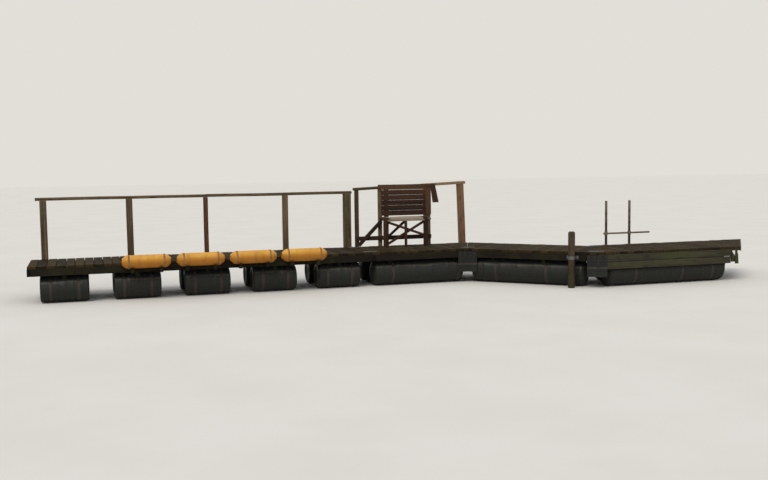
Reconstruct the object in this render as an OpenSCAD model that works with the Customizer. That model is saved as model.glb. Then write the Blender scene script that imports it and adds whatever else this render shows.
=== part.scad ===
// A floating wooden jetty: a railed walkway and landing on plastic barrels and pontoons,
// then two more linked sections that swing out to the open end. Millimetres, +Z up.
// +X runs out along the walkway, +Y is the railed side, and z = 0 is where the floats rest.

/* [Deck] */
// Width of every deck, edge to edge
deck_w = 1100; // [900:10:1400]
// Thickness of the deck boards
deck_t = 40; // [30:1:50]
// Height of the stringers and cross beams
frame_h = 100; // [80:5:125]
// Thickness of the stringers and cross beams
beam_t = 50; // [40:1:60]
// Gap between one section and the next
section_gap = 12; // [8:1:40]

/* [Plan] */
// Length of the walkway, from the shore to the landing
walkway_len = 5000; // [4800:10:5600]
// Length of the landing along its middle line
landing_len = 1810; // [1750:10:2000]
// Length of the middle section along its middle line
middle_len = 2090; // [2000:10:2600]
// Length of the outer section along its middle line
outer_len = 2750; // [2600:10:3400]
// Turn of the middle section in the plan, in degrees
turn = 45; // [20:1:48]
// Slant of the outer section's open end, in degrees off square
end_slant = 38; // [0:1:40]

/* [Floats] */
// Diameter of a barrel or pontoon over its ribs
float_d = 400; // [360:5:440]
// Depth of a rib or hoop
rib_h = 6; // [4:1:10]
// Distance of each row of floats from the middle line
float_y = 330; // [310:5:340]
// Length of a barrel
barrel_len = 660; // [600:10:700]
// Distance from one barrel to the next
barrel_pitch = 1000; // [900:10:1050]
// Depth of a pontoon's domed end
dome_h = 70; // [50:5:100]
// Width of a steel band round a float
strap_w = 40; // [30:1:50]

/* [Yellow floats] */
// Diameter of a yellow float
yellow_d = 190; // [160:5:220]
// Length of a yellow float
yellow_len = 680; // [600:10:700]
// Distance from one yellow float to the next
yellow_pitch = 765; // [730:5:800]
// Number of yellow floats
yellow_count = 4; // [1:1:4]

/* [Rail] */
// Height of the walkway rail over the deck
walkway_rail_h = 920; // [850:5:1050]
// Height of the landing rail over the deck at its inner end
landing_rail_h = 970; // [900:5:1050]
// Height of the landing rail over the deck at its outer end
corner_rail_h = 1050; // [950:5:1100]
// Thickness of a rail board
rail_t = 45; // [35:1:55]
// Width of a rail board
rail_w = 95; // [80:5:120]
// Lean of the last post, in degrees
last_post_lean = 1.9; // [0:0.1:3]

/* [Bench] */
// Height of the seat over the deck
seat_h = 480; // [430:5:500]
// Depth of the seat, back to front
seat_d = 300; // [260:5:400]
// Height of one slat of the back
slat_h = 80; // [60:1:80]
// Distance from one slat to the next
slat_pitch = 86; // [82:1:88]

/* [Hidden] */
$fn = 64;

timber = [0.36, 0.29, 0.21];
grey_timber = [0.48, 0.43, 0.36];
dark_timber = [0.23, 0.18, 0.13];
black_plastic = [0.11, 0.12, 0.13];
yellow_plastic = [0.82, 0.58, 0.22];
zinc = [0.55, 0.56, 0.56];

half_w = deck_w / 2;
mitre = tan(turn / 2);
end_slope = tan(end_slant);
half_gap = section_gap / 2;
frame_z = float_d;
deck_z = frame_z + frame_h;
deck_top = deck_z + deck_t;
body_r = float_d / 2 - rib_h;
rib_r = float_d / 2;

// The sections meet on mitred lines. Each section's own frame starts at its first joint.
middle_at = [walkway_len + landing_len, 0];
outer_at = middle_at + middle_len * [cos(turn), -sin(turn)];
far_corner_x = middle_at[0] + half_w * mitre;

// Pontoon ribs stand a pitch apart on a grid that both rows of a section share
rib_pitch = 2 * float_y * mitre;
pontoon_margin = 24;
cradle_t = 60;
cradle_half_y = 150;
cradle_drop = 80;
strap_t = 3;

// Barrels, each under a cross beam of its own
barrel_first = 490;
barrel_x = [for (i = [0:4]) barrel_first + i * barrel_pitch];
hoop_offset = 110;
hoop_half = 12;
barrel_strap_offset = 190;
bung_r = 28;
bung_h = 10;

// Cradles and bands of the pontoons, as steps of the rib pitch from the grid's start
landing_grid = 300;
landing_cradle_steps = [0, 4];
middle_grid = middle_len / 2 - 1.5 * rib_pitch;
middle_cradle_steps = [0, 3];
outer_grid = 400;
outer_near_steps = [0, 3, 5];
outer_far_steps = [0, 3, 7];

// Yellow floats lie along the walkway's near edge
yellow_first = 1610;
yellow_r = yellow_d / 2;
yellow_lift = 20;
yellow_y = -half_w - yellow_r;
yellow_z = deck_top + yellow_lift;
yellow_nose_r = 52;
yellow_taper = 80;
bearer_offset = 200;
bearer_w = 50;
bearer_h = 60;
strap_offset = 245;
strap_tail = 70;

// Rail posts: [place along the walkway, side]
post_foot_z = frame_z + 10;
walkway_posts_at = [[200, 95], [1450, 95], [2610, 67], [3880, 85], [4918, 115]];
landing_posts_at = [[5078, 62], [5480, 60], [5590, 68], [6320, 100]];
last_post = [6958, 100];
rail_start = 90;
walkway_rail_end = 4990;
landing_rail_start = 5030;
landing_rail_end = 7008;
rail_y = half_w + 50;

// Lower rail and braces of the landing
lower_rail_z = deck_top + 96;
lower_rail_h = 70;
lower_rail_start = 5048;
inner_board_t = 28;
brace_w = 60;
brace_foot = [5090, 24];
brace_top = [5480, 415];
seat_brace_w = 40;
seat_brace_foot = [5550, 110];
seat_brace_top = [5915, 420];

// Bench
slat_t = 22;
slat_count = 5;
slats_z = deck_top + 500;
top_board_h = 85;
slats_x0 = 5556;
slats_x1 = 6370;
top_board_x0 = 5440;
top_board_x1 = 6443;
wing_z = deck_top + 700;
wing_foot = [6405, 6511];
seat_x0 = 5450;
seat_x1 = 6210;
plank_gap = 10;
leg_w = 60;
seat_t = 38;
apron_h = 25;
cross_t = 24;
cross_w = 40;
cross_inset = 30;
cross_foot_z = 22;
cross_middle_z = 170;
cross_head_z = 418;
upright_w = 44;
upright_inset = 12;

// Outer section
skirt_t = 22;
skirt_board_h = 106;
skirt_gap = 6;
outer_half_w = half_w + skirt_t;
end_overhang = 210;
outer_frame_len = outer_len - end_overhang;
skirt_clear = 1;

// Step hung under the open end: hangers, a tread, a gusset, bearers and a fascia
fascia_t = 28;
fascia_h = 70;
hanger_w = 42;
hanger_back = 66;
hanger_len = 45;
hanger_drop = 200;
tread_t = 30;
tread_reach = [-50, 20];
bearer_drop = 25;
joint_bite = 8;
side_inset = 3;
gusset_t = 20;
gusset_top = 12;
gusset_fall = 135;

// Grab rail on the outer section's far edge
grab_r = 20;
grab_h = 720;
grab_x = [532, 960];
grab_bar_r = 14;
grab_bar_h = 190;
grab_bar_x = [483, 1342];
grab_y = half_w - 60;
flange_r = 45;
flange_t = 8;

// Mooring stake at the middle section's near edge
stake_r = 52;
stake_x = middle_len - 154;
stake_y = -half_w - stake_r - 6;
stake_h = 850;
stake_chamfer = 16;
collar_t = 5;
collar_h = 50;
collar_z = frame_z + 30;
collar_ear = 90;

// Extents along X and Y, which put the origin under the middle of the whole jetty
x_low = 0;
x_high = outer_at[0] + outer_len + outer_half_w * end_slope;
y_low = outer_at[1] - outer_half_w;
y_high = half_w + walkway_posts_at[4][1];
middle_of_all = [(x_low + x_high) / 2, (y_low + y_high) / 2];

// Frames of the sections
module at_walkway() {
    translate([-middle_of_all[0], -middle_of_all[1], 0]) children();
}
module at_landing() {
    at_walkway() translate([walkway_len, 0, 0]) children();
}
module at_middle() {
    at_walkway() translate([middle_at[0], middle_at[1], 0]) rotate([0, 0, -turn]) children();
}
module at_outer() {
    at_walkway() translate([outer_at[0], outer_at[1], 0]) children();
}

// A flat piece in plan whose two ends may be mitred: an end stands at x + slope * y
module plan_piece(x0, x1, y0, y1, slope0, slope1, z, h) {
    translate([0, 0, z])
        linear_extrude(height = h)
            polygon([
                [x0 + slope0 * y0, y0],
                [x1 + slope1 * y0, y0],
                [x1 + slope1 * y1, y1],
                [x0 + slope0 * y1, y1]
            ]);
}

// Three stringers between the end beams
module stringers(len, slope0, slope1) {
    x0 = half_gap + beam_t;
    x1 = len - half_gap - beam_t;
    for (y = [-half_w, -beam_t / 2, half_w - beam_t])
        plan_piece(x0, x1, y, y + beam_t, slope0, slope1, frame_z, frame_h);
}

// Beams across both ends, and short beams over each row of floats at the places in near_x and far_x
module crossbeams(len, slope0, slope1, near_x, far_x) {
    plan_piece(half_gap, half_gap + beam_t, -half_w, half_w, slope0, slope0, frame_z, frame_h);
    plan_piece(len - half_gap - beam_t, len - half_gap, -half_w, half_w, slope1, slope1, frame_z, frame_h);
    for (row = [[near_x, -half_w + beam_t], [far_x, beam_t / 2]], x = row[0])
        translate([x - beam_t / 2, row[1], frame_z])
            cube([beam_t, half_w - 1.5 * beam_t, frame_h]);
}

// Wooden cradle over a float, cut to the float's round
module cradle(x, y) {
    translate([x, y, 0])
        difference() {
            translate([-cradle_t / 2, -cradle_half_y, frame_z - cradle_drop])
                cube([cradle_t, 2 * cradle_half_y, cradle_drop]);
            translate([-cradle_t, 0, rib_r])
                rotate([0, 90, 0])
                    cylinder(r = body_r, h = 2 * cradle_t);
        }
}

module cradles(near_x, far_x) {
    for (x = near_x) cradle(x, -float_y);
    for (x = far_x) cradle(x, float_y);
}

// Steel band round a float
module float_band(x, y) {
    translate([x - strap_w / 2, y, rib_r])
        rotate([0, 90, 0])
            difference() {
                cylinder(r = body_r + strap_t, h = strap_w);
                translate([0, 0, -1]) cylinder(r = body_r, h = strap_w + 2);
            }
}

// Moulded barrel: hoops, rounded shoulders, recessed ends inside a rim, and two bungs
function hoop_points(at) = [
    [body_r, at - hoop_half],
    [rib_r, at - hoop_half / 2],
    [rib_r, at + hoop_half / 2],
    [body_r, at + hoop_half]
];
shoulder_r = 30;
recess_h = 14;
rim_w = 22;
rim_slope = 8;
function shoulder(from, dir) = [
    for (a = dir > 0 ? [0:22.5:90] : [90:-22.5:0])
        [body_r - shoulder_r + shoulder_r * sin(a), from + dir * (shoulder_r - shoulder_r * cos(a))]
];
function barrel_profile() = concat(
    [[0, recess_h], [body_r - shoulder_r - rim_w - rim_slope, recess_h], [body_r - shoulder_r - rim_w, 0]],
    shoulder(0, 1),
    hoop_points(barrel_len / 2 - hoop_offset),
    hoop_points(barrel_len / 2 + hoop_offset),
    shoulder(barrel_len, -1),
    [[body_r - shoulder_r - rim_w, barrel_len],
     [body_r - shoulder_r - rim_w - rim_slope, barrel_len - recess_h], [0, barrel_len - recess_h]]
);

module barrel(x, y) {
    translate([x - barrel_len / 2, y, rib_r])
        rotate([0, 90, 0])
            union() {
                rotate_extrude() polygon(barrel_profile());
                for (side = [-1, 1])
                    translate([0, side * body_r * 0.5, recess_h - bung_h])
                        cylinder(r = bung_r, h = bung_h + 2);
            }
}

// Ribbed pontoon with domed ends, from x0 to x1
rib_foot = 20;
rib_crest = 9;
rib_clear = 30;
function rib_points(at) = [
    [body_r, at - rib_foot],
    [rib_r, at - rib_crest],
    [rib_r, at + rib_crest],
    [body_r, at + rib_foot]
];
function dome(at, dir) = [
    for (a = dir > 0 ? [15:15:90] : [90:-15:15])
        [body_r * sin(a), at + dir * dome_h * (1 - cos(a))]
];
function flat_list(lists) = [for (l = lists) for (p = l) p];
function pontoon_profile(x0, x1, grid) = concat(
    [[0, x0]],
    dome(x0, 1),
    flat_list([
        for (i = [-2:12])
            let (at = grid + (i + 0.5) * rib_pitch)
                if (at > x0 + dome_h + rib_clear && at < x1 - dome_h - rib_clear) rib_points(at)
    ]),
    dome(x1, -1),
    [[0, x1]]
);

module pontoon(x0, x1, y, grid) {
    translate([0, y, rib_r])
        rotate([0, 90, 0])
            rotate_extrude() polygon(pontoon_profile(x0, x1, grid));
}

function steps(grid, list) = [for (i = list) grid + i * rib_pitch];

// How far a mitred end has to hold a float back, for the float's worst edge
function mitre_back(y, slope) = half_gap + pontoon_margin - min(slope * (y - rib_r), slope * (y + rib_r));

// Walkway
module walkway_deck() {
    color(timber) at_walkway()
        plan_piece(0, walkway_len - half_gap, -half_w, half_w, 0, 0, deck_z, deck_t);
}
module walkway_stringers() {
    color(dark_timber) at_walkway() translate([-half_gap, 0, 0])
        stringers(walkway_len + half_gap, 0, 0);
}
module walkway_crossbeams() {
    color(dark_timber) at_walkway() translate([-half_gap, 0, 0])
        crossbeams(
            walkway_len + half_gap, 0, 0,
            [for (x = barrel_x) x + half_gap], [for (x = barrel_x) x + half_gap]
        );
}
module walkway_near_barrels() {
    color(black_plastic) at_walkway() for (x = barrel_x) barrel(x, -float_y);
}
module walkway_far_barrels() {
    color(black_plastic) at_walkway() for (x = barrel_x) barrel(x, float_y);
}
module walkway_cradles() {
    color(dark_timber) at_walkway() cradles(barrel_x, barrel_x);
}

// Yellow floats
yellow_edge = 8;
yellow_ease = [6, 14];
yellow_profile = [
    [0, 0],
    [yellow_nose_r - yellow_edge, 0],
    [yellow_nose_r, yellow_edge],
    [yellow_r - yellow_ease[0], yellow_taper - yellow_ease[1]],
    [yellow_r, yellow_taper],
    [yellow_r, yellow_len - yellow_taper],
    [yellow_r - yellow_ease[0], yellow_len - yellow_taper + yellow_ease[1]],
    [yellow_nose_r, yellow_len - yellow_edge],
    [yellow_nose_r - yellow_edge, yellow_len],
    [0, yellow_len]
];
function yellow_x(i) = yellow_first + i * yellow_pitch;

module yellow_float(i) {
    color(yellow_plastic) at_walkway()
        translate([yellow_x(i) - yellow_len / 2, yellow_y, yellow_z])
            rotate([0, 90, 0])
                rotate_extrude() polygon(yellow_profile);
}

// Short bearers out from the near stringer, each under a yellow float
module yellow_float_bearers() {
    color(timber) at_walkway()
        for (i = [0:yellow_count - 1], side = [-1, 1])
            translate([
                yellow_x(i) + side * bearer_offset - bearer_w / 2,
                yellow_y - yellow_r,
                yellow_z - yellow_r - bearer_h
            ])
                cube([bearer_w, -half_w - yellow_y + yellow_r, bearer_h]);
}

// Bands over the yellow floats, with tails screwed down on the deck's edge
module yellow_float_straps() {
    color(zinc) at_walkway()
        for (i = [0:yellow_count - 1], side = [-1, 1])
            translate([yellow_x(i) + side * strap_offset - bearer_w / 4, 0, 0])
                difference() {
                    union() {
                        translate([0, yellow_y, yellow_z])
                            rotate([0, 90, 0])
                                cylinder(r = yellow_r + strap_t, h = bearer_w / 2);
                        translate([0, -half_w - strap_t, deck_top])
                            cube([bearer_w / 2, strap_tail + strap_t, strap_t]);
                    }
                    translate([-1, yellow_y, yellow_z])
                        rotate([0, 90, 0])
                            cylinder(r = yellow_r, h = bearer_w);
                    translate([-1, -half_w, deck_z]) cube([bearer_w, half_w, deck_t]);
                }
}

// Landing
module landing_deck() {
    color(timber) at_landing()
        plan_piece(half_gap, landing_len - half_gap, -half_w, half_w, 0, mitre, deck_z, deck_t);
}
module landing_stringers() {
    color(dark_timber) at_landing() stringers(landing_len, 0, mitre);
}
module landing_crossbeams() {
    at_x = steps(landing_grid, landing_cradle_steps);
    color(dark_timber) at_landing() crossbeams(landing_len, 0, mitre, at_x, at_x);
}
module landing_pontoon(side) {
    color(black_plastic) at_landing()
        pontoon(
            half_gap + pontoon_margin,
            landing_len - mitre_back(side * float_y, mitre),
            side * float_y, landing_grid
        );
}
module landing_cradles() {
    at_x = steps(landing_grid, landing_cradle_steps);
    color(dark_timber) at_landing() cradles(at_x, at_x);
}

// Middle section
module middle_deck() {
    color(timber) at_middle()
        plan_piece(half_gap, middle_len - half_gap, -half_w, half_w, -mitre, -mitre, deck_z, deck_t);
}
module middle_stringers() {
    color(dark_timber) at_middle() stringers(middle_len, -mitre, -mitre);
}
module middle_crossbeams() {
    at_x = steps(middle_grid, middle_cradle_steps);
    color(dark_timber) at_middle() crossbeams(middle_len, -mitre, -mitre, at_x, at_x);
}
module middle_pontoon(side) {
    color(black_plastic) at_middle()
        pontoon(
            mitre_back(side * float_y, mitre),
            middle_len - mitre_back(side * float_y, -mitre),
            side * float_y, middle_grid
        );
}
module middle_cradles() {
    at_x = steps(middle_grid, middle_cradle_steps);
    color(dark_timber) at_middle() cradles(at_x, at_x);
}

// Outer section
module outer_deck() {
    color(timber) at_outer()
        plan_piece(
            half_gap, outer_len - fascia_t, -outer_half_w, outer_half_w, mitre, end_slope, deck_z, deck_t
        );
}
module outer_stringers() {
    color(dark_timber) at_outer() stringers(outer_frame_len, mitre, end_slope);
}
module outer_crossbeams() {
    color(dark_timber) at_outer()
        crossbeams(
            outer_frame_len, mitre, end_slope,
            steps(outer_grid, outer_near_steps), steps(outer_grid, outer_far_steps)
        );
}
module outer_pontoon(side) {
    color(black_plastic) at_outer()
        pontoon(
            mitre_back(side * float_y, -mitre),
            outer_frame_len - mitre_back(side * float_y, end_slope),
            side * float_y, outer_grid
        );
}
module outer_cradles() {
    color(dark_timber) at_outer()
        cradles(steps(outer_grid, outer_near_steps), steps(outer_grid, outer_far_steps));
}

// Two rows of boards down both sides and the end of the outer section
skirt_end = outer_frame_len - half_gap + skirt_t;
module outer_skirt() {
    inner = half_w - skirt_clear;
    color(timber) at_outer()
        for (row = [0:1]) {
            z = deck_z - (row + 1) * skirt_board_h - row * skirt_gap;
            for (y = [-outer_half_w, half_w])
                plan_piece(half_gap, skirt_end, y, y + skirt_t, mitre, end_slope, z, skirt_board_h);
            plan_piece(skirt_end - skirt_t, skirt_end, -inner, inner, end_slope, end_slope, z, skirt_board_h);
        }
}

// All bands round the black floats
module float_straps() {
    color(zinc) {
        at_walkway()
            for (x = barrel_x, end = [-1, 1], side = [-1, 1])
                float_band(x + end * barrel_strap_offset, side * float_y);
        at_landing() pontoon_bands(landing_grid, landing_cradle_steps, landing_cradle_steps);
        at_middle() pontoon_bands(middle_grid, middle_cradle_steps, middle_cradle_steps);
        at_outer() pontoon_bands(outer_grid, outer_near_steps, outer_far_steps);
    }
}
// Each band stands just beyond its cradle
band_offset = cradle_t / 2 + strap_w / 2 + 2;
module pontoon_bands(grid, near_steps, far_steps) {
    for (x = steps(grid, near_steps)) float_band(x + band_offset, -float_y);
    for (x = steps(grid, far_steps)) float_band(x + band_offset, float_y);
}

// Steel plates over the joints between sections, and the collar that holds the stake
link_len = 220;
link_w = 60;
link_t = 6;
link_y = 430;
module link_pair(angle) {
    for (side = [-1, 1])
        translate([0, 0, deck_top])
            rotate([0, 0, angle])
                translate([-link_len / 2, side * link_y - link_w / 2, 0])
                    cube([link_len, link_w, link_t]);
}
module section_links() {
    color(zinc) {
        at_landing() link_pair(0);
        at_middle() link_pair(turn / 2);
        at_outer() link_pair(-turn / 2);
        at_middle() stake_collar();
    }
}
module stake_collar() {
    translate([stake_x, stake_y, collar_z])
        difference() {
            union() {
                cylinder(r = stake_r + collar_t, h = collar_h);
                translate([-collar_ear, -half_w - stake_y - collar_t, 0])
                    cube([2 * collar_ear, collar_t, collar_h]);
            }
            translate([0, 0, -1]) cylinder(r = stake_r, h = collar_h + 2);
        }
}

// Rail
function landing_rail_z(x) = deck_top + landing_rail_h
    + (corner_rail_h - landing_rail_h) * (x - landing_rail_start) / (landing_rail_end - landing_rail_start);

module rail_post(x, side, top_z) {
    translate([x - side / 2, half_w, post_foot_z]) cube([side, side, top_z - post_foot_z]);
}
module walkway_posts() {
    color(grey_timber) at_walkway()
        for (p = walkway_posts_at)
            rail_post(p[0], p[1], deck_top + walkway_rail_h - rail_t);
}
module landing_posts() {
    color(grey_timber) at_walkway() {
        for (p = landing_posts_at)
            difference() {
                rail_post(p[0], p[1], landing_rail_z(p[0]) + rail_t);
                landing_rail_cut();
            }
        difference() {
            translate([last_post[0], 0, deck_top])
                rotate([0, -last_post_lean, 0])
                    translate([-last_post[0], 0, -deck_top])
                        rail_post(last_post[0], last_post[1], landing_rail_z(last_post[0]) + rail_t);
            landing_rail_cut();
        }
    }
}
// The sloped underside of the landing rail and all above it
module landing_rail_cut() {
    x0 = walkway_len;
    x1 = far_corner_x + rail_w;
    translate([0, half_w + 2 * rail_w, 0])
        rotate([90, 0, 0])
            linear_extrude(height = 3 * rail_w)
                polygon([
                    [x0, landing_rail_z(x0) - rail_t],
                    [x1, landing_rail_z(x1) - rail_t],
                    [x1, landing_rail_z(x1) + landing_rail_h],
                    [x0, landing_rail_z(x0) + landing_rail_h]
                ]);
}
module walkway_handrail() {
    color(grey_timber) at_walkway()
        translate([rail_start, rail_y - rail_w / 2, deck_top + walkway_rail_h - rail_t])
            cube([walkway_rail_end - rail_start, rail_w, rail_t]);
}
module landing_handrail() {
    color(grey_timber) at_walkway()
        translate([0, rail_y + rail_w / 2, 0])
            rotate([90, 0, 0])
                linear_extrude(height = rail_w)
                    polygon([
                        [landing_rail_start, landing_rail_z(landing_rail_start) - rail_t],
                        [landing_rail_end, landing_rail_z(landing_rail_end) - rail_t],
                        [landing_rail_end, landing_rail_z(landing_rail_end)],
                        [landing_rail_start, landing_rail_z(landing_rail_start)]
                    ]);
}
module lower_rail() {
    color(dark_timber) at_walkway()
        translate([lower_rail_start, half_w - inner_board_t, lower_rail_z])
            cube([slats_x1 - lower_rail_start, inner_board_t, lower_rail_h]);
}

// A bar of width w and thickness t from one [x, z] to another in a plane of constant y
module flat_bar(start, end, w, t) {
    run = end - start;
    translate([start[0], 0, start[1]])
        rotate([0, -atan2(run[1], run[0]), 0])
            translate([0, 0, -w / 2])
                cube([norm(run), t, w]);
}
module rail_brace() {
    color(dark_timber) at_walkway()
        translate([0, half_w - 2 * inner_board_t, deck_top]) {
            flat_bar(brace_foot, brace_top, brace_w, inner_board_t);
            flat_bar(seat_brace_foot, seat_brace_top, seat_brace_w, inner_board_t);
        }
}

// Bench: slats and a top board on the posts, a wing at their outer end, a seat, and a cross-braced front
module bench_back() {
    top_z = slats_z + slat_count * slat_pitch;
    color(dark_timber) at_walkway() {
        for (i = [0:slat_count - 1])
            translate([slats_x0, half_w - slat_t, slats_z + i * slat_pitch])
                cube([slats_x1 - slats_x0, slat_t, slat_h]);
        translate([0, half_w, 0])
            rotate([90, 0, 0])
                linear_extrude(height = slat_t)
                    polygon([
                        [top_board_x0, top_z],
                        [slats_x1 + 2, top_z],
                        [wing_foot[0], wing_z],
                        [wing_foot[1], wing_z],
                        [top_board_x1, top_z + top_board_h],
                        [top_board_x0, top_z + top_board_h]
                    ]);
    }
}
module bench_seat() {
    plank = (seat_d - plank_gap) / 2;
    seat_len = seat_x1 - seat_x0;
    color(grey_timber) at_walkway()
        translate([seat_x0, half_w - seat_d, deck_top + seat_h - seat_t]) {
            for (i = [0:1])
                translate([0, i * (plank + plank_gap), 0]) cube([seat_len, plank, seat_t]);
            translate([leg_w, 0, -apron_h]) cube([seat_len - 2 * leg_w, inner_board_t, apron_h]);
            translate([0, seat_d - inner_board_t, -apron_h]) cube([slats_x1 - seat_x0, inner_board_t, apron_h]);
        }
}
module bench_front_frame() {
    top = seat_h - seat_t - apron_h;
    left = seat_x0 + leg_w / 2;
    right = seat_x1 - leg_w / 2;
    color(dark_timber) at_walkway()
        translate([0, half_w - seat_d, deck_top]) {
            for (x = [left, right]) translate([x - leg_w / 2, 0, 0]) cube([leg_w, leg_w, seat_h - seat_t]);
            translate([0, cross_inset, 0]) {
                flat_bar([left, cross_foot_z], [right, cross_head_z], cross_w, cross_t);
                flat_bar([left, cross_head_z], [right, cross_middle_z], cross_w, cross_t);
            }
            translate([(left + right - upright_w) / 2, upright_inset, 0]) cube([upright_w, cross_t, top]);
        }
}

// A step hung under the deck's overhang at the open end, all cut to the end's slant.
// Its timbers are housed into each other by joint_bite.
module end_piece(x0, x1, y0, y1, z, h) {
    plan_piece(x0, x1, y0, y1, end_slope, end_slope, z, h);
}
module end_step() {
    hang_z = deck_z - hanger_drop;
    hang_x = outer_len - hanger_back;
    face_x = outer_len - fascia_t;
    hanger_y = outer_half_w - side_inset - hanger_w / 2;
    color(timber) at_outer() {
        end_piece(face_x, outer_len, -outer_half_w, outer_half_w, deck_top - fascia_h, fascia_h);
        end_piece(
            hang_x + tread_reach[0], hang_x + tread_reach[1], -outer_half_w, outer_half_w,
            hang_z - tread_t, tread_t
        );
        for (side = [-1, 1]) {
            y = side * hanger_y;
            end_piece(
                skirt_end, face_x + joint_bite, y - hanger_w / 2, y + hanger_w / 2,
                deck_z - bearer_drop, bearer_drop
            );
            end_piece(
                hang_x - hanger_len, hang_x, y - hanger_w / 2 + side_inset, y + hanger_w / 2 - side_inset,
                hang_z - joint_bite, hanger_drop
            );
        }
        gusset(-hanger_y, hang_x - hanger_len / 2, hang_z);
    }
}
// Board from the skirt's end to a hanger, with a sloping top edge
module gusset(y, foot, z) {
    edge = skirt_end + skirt_clear + end_slope * gusset_t / 2;
    translate([end_slope * y, y + gusset_t / 2, 0])
        rotate([90, 0, 0])
            linear_extrude(height = gusset_t)
                polygon([
                    [edge, z - joint_bite],
                    [foot, z - joint_bite],
                    [foot, deck_z - gusset_top - gusset_fall],
                    [edge, deck_z - gusset_top]
                ]);
}

// Two thin uprights and a low bar at the outer section's far edge
module grab_rail() {
    color(zinc) at_outer()
        translate([0, grab_y, deck_top]) {
            for (x = grab_x)
                translate([x, 0, 0]) {
                    cylinder(r = grab_r, h = grab_h);
                    cylinder(r = flange_r, h = flange_t);
                }
            translate([grab_bar_x[0], 0, grab_bar_h])
                rotate([0, 90, 0])
                    cylinder(r = grab_bar_r, h = grab_bar_x[1] - grab_bar_x[0]);
        }
}

// Driven stake at the near edge, with a worn top
module mooring_stake() {
    color(dark_timber) at_middle()
        translate([stake_x, stake_y, 0]) {
            cylinder(r = stake_r, h = stake_h - stake_chamfer);
            translate([0, 0, stake_h - stake_chamfer])
                cylinder(r1 = stake_r, r2 = stake_r - stake_chamfer, h = stake_chamfer);
        }
}

walkway_deck();
walkway_stringers();
walkway_crossbeams();
walkway_near_barrels();
walkway_far_barrels();
walkway_cradles();
yellow_float(0);  // yellow_float_1
yellow_float(1);  // yellow_float_2
yellow_float(2);  // yellow_float_3
yellow_float(3);  // yellow_float_4
yellow_float_bearers();
yellow_float_straps();
landing_deck();
landing_stringers();
landing_crossbeams();
landing_pontoon(-1);  // landing_near_pontoon
landing_pontoon(1);  // landing_far_pontoon
landing_cradles();
middle_deck();
middle_stringers();
middle_crossbeams();
middle_pontoon(-1);  // middle_near_pontoon
middle_pontoon(1);  // middle_far_pontoon
middle_cradles();
outer_deck();
outer_stringers();
outer_crossbeams();
outer_pontoon(-1);  // outer_near_pontoon
outer_pontoon(1);  // outer_far_pontoon
outer_cradles();
outer_skirt();
float_straps();
section_links();
walkway_posts();
landing_posts();
walkway_handrail();
landing_handrail();
lower_rail();
rail_brace();
bench_back();
bench_seat();
bench_front_frame();
end_step();
grab_rail();
mooring_stake();
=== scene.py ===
"""Looks of a floating wooden jetty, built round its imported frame. Metres, in the frame's own axes."""

import random
from math import asin, atan, cos, pi, radians, sin, tan

import bmesh
import bpy
from mathutils import Matrix, Vector, noise


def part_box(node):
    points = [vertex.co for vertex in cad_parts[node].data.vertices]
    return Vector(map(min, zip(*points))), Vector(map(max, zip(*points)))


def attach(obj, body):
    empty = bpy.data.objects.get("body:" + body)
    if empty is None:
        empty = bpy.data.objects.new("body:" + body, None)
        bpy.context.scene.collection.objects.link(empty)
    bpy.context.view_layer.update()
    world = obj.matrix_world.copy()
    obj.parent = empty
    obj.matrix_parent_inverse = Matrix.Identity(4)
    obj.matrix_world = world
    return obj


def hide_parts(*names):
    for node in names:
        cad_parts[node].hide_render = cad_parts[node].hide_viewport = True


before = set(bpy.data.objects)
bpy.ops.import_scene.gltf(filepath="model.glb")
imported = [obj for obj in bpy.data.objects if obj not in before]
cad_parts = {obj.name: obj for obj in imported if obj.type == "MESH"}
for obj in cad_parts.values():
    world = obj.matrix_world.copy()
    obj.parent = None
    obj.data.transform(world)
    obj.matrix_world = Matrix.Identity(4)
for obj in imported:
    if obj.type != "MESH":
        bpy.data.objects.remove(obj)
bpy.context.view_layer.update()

# Sizes that the frame's boxes don't give
TURN = radians(45)
MITRE = tan(TURN / 2)
END_SLOPE = tan(radians(38))
HALF_GAP = 0.006
DECK_T = 0.04
FRAME_H = 0.1
BEAM_T = 0.05
FLOAT_R = 0.2
BODY_R = 0.194
FLOAT_Y = 0.33
FRAME_Z = 2 * FLOAT_R
DECK_Z = FRAME_Z + FRAME_H
DECK_TOP = DECK_Z + DECK_T
FASCIA_T = 0.028
END_OVERHANG = 0.21
WATERLINE = 0.29

# Places of the sections, from the boxes of their decks
shore_lo, shore_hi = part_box("walkway_deck")
landing_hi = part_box("landing_deck")[1]
outer_lo, outer_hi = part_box("outer_deck")
HALF_W = (shore_hi.y - shore_lo.y) / 2
OUTER_HALF_W = (outer_hi.y - outer_lo.y) / 2
SKIRT_T = OUTER_HALF_W - HALF_W
WALKWAY_LEN = shore_hi.x - shore_lo.x + HALF_GAP
LANDING_LEN = landing_hi.x - shore_lo.x - WALKWAY_LEN + HALF_GAP - HALF_W * MITRE
walkway_at = Vector((shore_lo.x, (shore_lo.y + shore_hi.y) / 2, 0))
landing_at = walkway_at + Vector((WALKWAY_LEN, 0, 0))
middle_at = landing_at + Vector((LANDING_LEN, 0, 0))
outer_at = Vector((outer_lo.x - HALF_GAP + MITRE * OUTER_HALF_W, (outer_lo.y + outer_hi.y) / 2, 0))
MIDDLE_LEN = (outer_at - middle_at).length
OUTER_LEN = outer_hi.x - outer_at.x + FASCIA_T - END_SLOPE * OUTER_HALF_W
OUTER_FRAME_LEN = OUTER_LEN - END_OVERHANG
WALKWAY = Matrix.Translation(walkway_at)
LANDING = Matrix.Translation(landing_at)
MIDDLE = Matrix.Translation(middle_at) @ Matrix.Rotation(-TURN, 4, "Z")
OUTER = Matrix.Translation(outer_at)
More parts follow.
